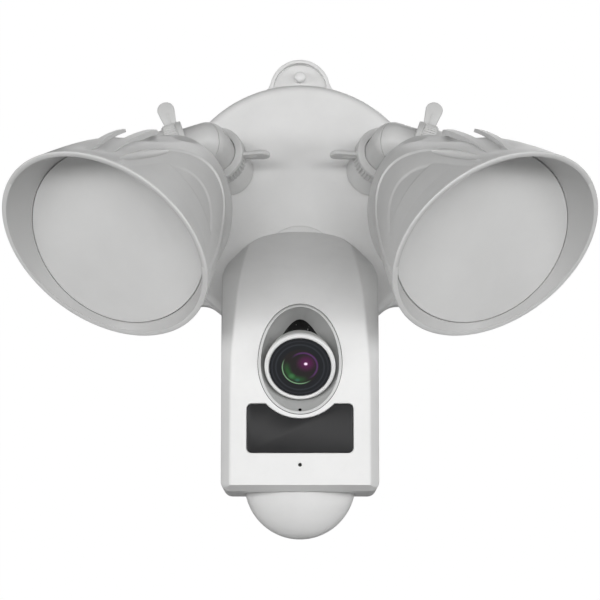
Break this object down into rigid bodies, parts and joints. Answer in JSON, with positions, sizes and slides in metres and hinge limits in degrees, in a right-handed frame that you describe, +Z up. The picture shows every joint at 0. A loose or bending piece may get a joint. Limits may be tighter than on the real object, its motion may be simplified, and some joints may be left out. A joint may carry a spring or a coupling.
{
  "type": "floodlight security camera",
  "caption": "Round wall canopy with a hanging camera body, a down-looking tilting lens, a presence dome and hooded lamps on elbow arms.",
  "frame": {"origin": "centre of the wall bracket's back face, which lies on the wall", "axes": "+X to the viewer's right, +Y into the wall, +Z up"},
  "size_m": [0.3062, 0.1878, 0.2738],
  "materials": {
    "white_plastic": "satin moulded white",
    "light_grey_plastic": "satin moulded light grey",
    "black_rubber": "moulded black",
    "zinc_steel": "bright zinc",
    "pearl_plastic": "milky",
    "frosted_plastic": "frosted diffuser",
    "satin_grey_plastic": "satin grey",
    "smoked_plastic": "smoked",
    "coated_glass": "dark coated lens",
    "reflector_white": "gloss white",
    "circuit_board": "green solder mask",
    "black_plastic": "fine texture"
  },
  "bodies": {
    "camera_and_canopy": {"canopy_cover": "white_plastic", "canopy_gasket": "black_rubber", "wall_bracket": "zinc_steel", "ear_screw_top": "pearl_plastic", "ear_screw_right": "pearl_plastic", "ear_screw_left": "pearl_plastic", "led_driver": "black_plastic", "terminal_block": "white_plastic", "camera_hollow_bolt": "zinc_steel", "body_front_shell": "white_plastic", "body_rear_cover": "light_grey_plastic", "camera_lock_nut": "zinc_steel", "lens_bowl": "satin_grey_plastic", "lens_seat": "black_plastic", "sensor_window": "smoked_plastic", "infrared_board": "circuit_board", "main_board": "circuit_board", "siren_speaker": "black_plastic", "microphone": "black_plastic", "presence_dome": "pearl_plastic", "presence_sensor": "circuit_board", "left_base_seal": "black_rubber", "right_base_seal": "black_rubber"},
    "lens": {"lens_eyeball": "white_plastic", "lens_stud": "zinc_steel", "lens_clamp_nut": "zinc_steel", "lens_ring": "white_plastic", "lens_cover_glass": "coated_glass", "lens_barrel": "black_plastic", "lens_element": "coated_glass", "image_sensor_board": "circuit_board"},
    "left_base_nut": {"left_base_nut": "light_grey_plastic"},
    "left_arm": {"left_arm_elbow": "light_grey_plastic", "left_head_seal": "black_rubber"},
    "left_head_nut": {"left_head_nut": "light_grey_plastic"},
    "left_lamp": {"left_lamp_housing": "light_grey_plastic", "left_diffuser": "frosted_plastic", "left_diffuser_seal": "black_rubber", "left_reflector": "reflector_white", "left_led_board": "circuit_board"},
    "right_base_nut": {"right_base_nut": "light_grey_plastic"},
    "right_arm": {"right_arm_elbow": "light_grey_plastic", "right_head_seal": "black_rubber"},
    "right_head_nut": {"right_head_nut": "light_grey_plastic"},
    "right_lamp": {"right_lamp_housing": "light_grey_plastic", "right_diffuser": "frosted_plastic", "right_diffuser_seal": "black_rubber", "right_reflector": "reflector_white", "right_led_board": "circuit_board"}
  },
  "joints": [
    {"name": "lens_tilt", "type": "hinge", "parent": "camera_and_canopy", "child": "lens", "pos_m": [0, -0.09419, -0.09443], "axis": [1, 0, 0], "range_deg": [-24, 2]},
    {"name": "left_base_nut_turn", "type": "hinge", "parent": "camera_and_canopy", "child": "left_base_nut", "pos_m": [-0.045, -0.048, 0.025], "axis": [-0.2509, -0.9497, 0.1874], "range_deg": [-45, 45]},
    {"name": "left_arm_swivel", "type": "hinge", "parent": "camera_and_canopy", "child": "left_arm", "pos_m": [-0.045, -0.048, 0.025], "axis": [-0.2509, -0.9497, 0.1874], "range_deg": [-60, 2]},
    {"name": "left_head_nut_turn", "type": "hinge", "parent": "left_arm", "child": "left_head_nut", "pos_m": [-0.06553, -0.06794, 0.02412], "axis": [-0.9537, 0, -0.3007], "range_deg": [-45, 45]},
    {"name": "left_lamp_tilt", "type": "hinge", "parent": "left_arm", "child": "left_lamp", "pos_m": [-0.06553, -0.06794, 0.02412], "axis": [-0.9537, 0, -0.3007], "range_deg": [-20, 40]},
    {"name": "right_base_nut_turn", "type": "hinge", "parent": "camera_and_canopy", "child": "right_base_nut", "pos_m": [0.045, -0.048, 0.025], "axis": [0.2509, -0.9497, 0.1874], "range_deg": [-45, 45]},
    {"name": "right_arm_swivel", "type": "hinge", "parent": "camera_and_canopy", "child": "right_arm", "pos_m": [0.045, -0.048, 0.025], "axis": [0.2509, -0.9497, 0.1874], "range_deg": [-2, 60]},
    {"name": "right_head_nut_turn", "type": "hinge", "parent": "right_arm", "child": "right_head_nut", "pos_m": [0.06553, -0.06794, 0.02412], "axis": [0.9537, 0, -0.3007], "range_deg": [-45, 45]},
    {"name": "right_lamp_tilt", "type": "hinge", "parent": "right_arm", "child": "right_lamp", "pos_m": [0.06553, -0.06794, 0.02412], "axis": [0.9537, 0, -0.3007], "range_deg": [-40, 20]}
  ]
}
